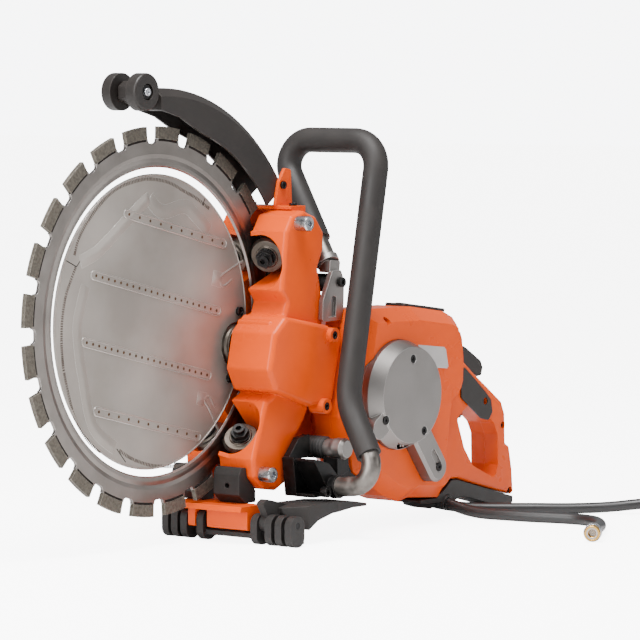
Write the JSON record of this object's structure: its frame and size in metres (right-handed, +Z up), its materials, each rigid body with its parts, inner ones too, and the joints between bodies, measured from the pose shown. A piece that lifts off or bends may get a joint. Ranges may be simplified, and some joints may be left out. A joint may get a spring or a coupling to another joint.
{
  "type": "rescue saw",
  "caption": "Electric rescue saw with a ring-shaped diamond blade driven at its inner edge, four support rollers, loop front handle, D-shaped rear handle and splash guard.",
  "frame": {"origin": "middle of the footprint on the floor, without the free cable and hose", "axes": "+X towards the rear handle, +Y to the operator's right, +Z up"},
  "size_m": [0.875, 0.4289, 0.5164],
  "materials": {
    "orange_gloss": "gloss",
    "blade_steel": "brushed",
    "diamond_segment": "rough",
    "zinc_steel": "zinc plated",
    "roller_steel": "satin",
    "black_steel": "black oxide",
    "machined_steel": "machined",
    "cast_metal": "cast satin",
    "bare_aluminium": "bare",
    "black_rubber": "matte",
    "dark_plastic": "fine texture",
    "cable_rubber": "matte",
    "brass": "turned"
  },
  "bodies": {
    "root": {"ball_bearings": "machined_steel", "base_pad": "dark_plastic", "blade_guard": "dark_plastic", "bumper_blocks": "black_rubber", "cable_connector": "dark_plastic", "cap_screws": "black_steel", "centre_disc": "blade_steel", "chassis": "orange_gloss", "cord_glands": "black_rubber", "drive_belt": "black_rubber", "far_roller_bolts": "black_steel", "feet": "black_rubber", "front_handle": "bare_aluminium", "front_handle_grip": "black_rubber", "gear_case": "cast_metal", "gear_cover": "cast_metal", "guard_bracket": "orange_gloss", "handle_pads": "dark_plastic", "hinge_pins": "machined_steel", "hose_coupling": "brass", "housing_left": "orange_gloss", "housing_right": "orange_gloss", "lower_handle_bracket": "black_steel", "motor_controller": "cast_metal", "motor_stator": "machined_steel", "nose_axle": "machined_steel", "power_cable": "cable_rubber", "roller_cover": "orange_gloss", "spring_boots": "black_rubber", "spring_cup": "cast_metal", "top_panel": "dark_plastic", "trigger_switch": "dark_plastic", "upper_handle_arm": "cast_metal", "water_hose": "black_rubber"},
    "ring": {"ring_blade_core": "blade_steel", "blade_segments": "diamond_segment"},
    "drive": {"drive_wheel": "machined_steel", "drive_shaft": "machined_steel"},
    "lay_shaft": {"lay_shaft": "machined_steel", "drive_gear": "machined_steel"},
    "rotor": {"motor_rotor": "machined_steel", "motor_pinion": "machined_steel", "cooling_fan": "dark_plastic"},
    "upper_adjuster": {"upper_adjuster": "zinc_steel"},
    "lower_adjuster": {"lower_adjuster": "zinc_steel"},
    "upper_arm": {"upper_roller_arm": "machined_steel", "upper_roller_bolt": "black_steel"},
    "lower_arm": {"lower_roller_arm": "machined_steel", "lower_roller_bolt": "black_steel"},
    "near_upper_roller": {"near_upper_roller": "roller_steel"},
    "near_lower_roller": {"near_lower_roller": "roller_steel"},
    "far_upper_roller": {"far_upper_roller": "roller_steel"},
    "far_lower_roller": {"far_lower_roller": "roller_steel"},
    "nose_rollers": {"nose_rollers": "dark_plastic"},
    "trigger": {"trigger": "dark_plastic"},
    "trigger_lock": {"trigger_lock": "dark_plastic"},
    "power_button": {"power_button": "dark_plastic"},
    "more_water_button": {"more_water_button": "dark_plastic"},
    "less_water_button": {"less_water_button": "dark_plastic"},
    "splash_wing": {"splash_wing": "black_rubber"}
  },
  "joints": [
    {"name": "ring_spin", "type": "hinge", "parent": "root", "child": "ring", "pos_m": [-0.173, 0.0539, 0.246], "axis": [0, 1, 0], "continuous": true},
    {"name": "drive_wheel_spin", "type": "hinge", "parent": "root", "child": "drive", "pos_m": [-0.02994, 0.0539, 0.21218], "axis": [0, 1, 0], "continuous": true},
    {"name": "lay_shaft_spin", "type": "hinge", "parent": "root", "child": "lay_shaft", "pos_m": [0.126, 0.0539, 0.147], "axis": [0, 1, 0], "continuous": true},
    {"name": "rotor_spin", "type": "hinge", "parent": "root", "child": "rotor", "pos_m": [0.12307, 0.0539, 0.1051], "axis": [0, 1, 0], "continuous": true},
    {"name": "upper_adjuster_turn", "type": "hinge", "parent": "root", "child": "upper_adjuster", "pos_m": [0.00639, 0.0539, 0.34848], "axis": [0, -1, 0], "range_deg": [0, 180]},
    {"name": "upper_arm_swing", "type": "hinge", "parent": "root", "child": "upper_arm", "pos_m": [0.02351, 0.0407, 0.32222], "axis": [-0.3616, 0, 0.9323], "range_deg": [0, 6]},
    {"name": "lower_adjuster_turn", "type": "hinge", "parent": "root", "child": "lower_adjuster", "pos_m": [-0.05849, 0.0539, 0.07404], "axis": [0, -1, 0], "range_deg": [0, 180]},
    {"name": "lower_arm_swing", "type": "hinge", "parent": "root", "child": "lower_arm", "pos_m": [-0.03142, 0.0407, 0.08986], "axis": [0.7408, 0, 0.6717], "range_deg": [0, 6]},
    {"name": "near_upper_roller_spin", "type": "hinge", "parent": "upper_arm", "child": "near_upper_roller", "pos_m": [-0.00145, 0.03252, 0.31254], "axis": [-0.8916, -0.2924, -0.3458], "continuous": true},
    {"name": "near_lower_roller_spin", "type": "hinge", "parent": "lower_arm", "child": "near_lower_roller", "pos_m": [-0.0494, 0.03252, 0.10969], "axis": [-0.6424, -0.2924, 0.7084], "continuous": true},
    {"name": "far_upper_roller_spin", "type": "hinge", "parent": "root", "child": "far_upper_roller", "pos_m": [-0.00145, 0.07528, 0.31254], "axis": [-0.8916, 0.2924, -0.3458], "continuous": true},
    {"name": "far_lower_roller_spin", "type": "hinge", "parent": "root", "child": "far_lower_roller", "pos_m": [-0.0494, 0.07528, 0.10969], "axis": [-0.6424, 0.2924, 0.7084], "continuous": true},
    {"name": "nose_roller_spin", "type": "hinge", "parent": "root", "child": "nose_rollers", "pos_m": [-0.211, 0.0539, 0.496], "axis": [0, 1, 0], "continuous": true},
    {"name": "trigger_pull", "type": "hinge", "parent": "root", "child": "trigger", "pos_m": [0.277, -0.0111, 0.14], "axis": [0, -1, 0], "range_deg": [0, 10], "stiffness_Nm_per_rad": 0.6},
    {"name": "trigger_lock_press", "type": "hinge", "parent": "root", "child": "trigger_lock", "pos_m": [0.301, -0.0111, 0.154], "axis": [0, 1, 0], "range_deg": [0, 8], "stiffness_Nm_per_rad": 0.4},
    {"name": "power_press", "type": "slide", "parent": "root", "child": "power_button", "axis": [-0.1314, 0, -0.9913], "range_m": [0, 0.0012], "stiffness_N_per_m": 800},
    {"name": "more_water_press", "type": "slide", "parent": "root", "child": "more_water_button", "axis": [-0.1314, 0, -0.9913], "range_m": [0, 0.0012], "stiffness_N_per_m": 800},
    {"name": "less_water_press", "type": "slide", "parent": "root", "child": "less_water_button", "axis": [-0.1314, 0, -0.9913], "range_m": [0, 0.0012], "stiffness_N_per_m": 800},
    {"name": "splash_wing_swing", "type": "hinge", "parent": "root", "child": "splash_wing", "pos_m": [-0.083, -0.0311, 0.024], "axis": [0, 1, 0], "range_deg": [0, 8]}
  ],
  "couplings": [
    {"joint": "drive_wheel_spin", "follows": "ring_spin", "ratio": 8},
    {"joint": "lay_shaft_spin", "follows": "ring_spin", "ratio": 8},
    {"joint": "rotor_spin", "follows": "ring_spin", "ratio": -24},
    {"joint": "upper_arm_swing", "follows": "upper_adjuster_turn", "ratio": 0.033333},
    {"joint": "lower_arm_swing", "follows": "lower_adjuster_turn", "ratio": 0.033333},
    {"joint": "near_upper_roller_spin", "follows": "ring_spin", "ratio": 8.4762},
    {"joint": "near_lower_roller_spin", "follows": "ring_spin", "ratio": 8.4762},
    {"joint": "far_upper_roller_spin", "follows": "ring_spin", "ratio": -8.4762},
    {"joint": "far_lower_roller_spin", "follows": "ring_spin", "ratio": -8.4762}
  ]
}
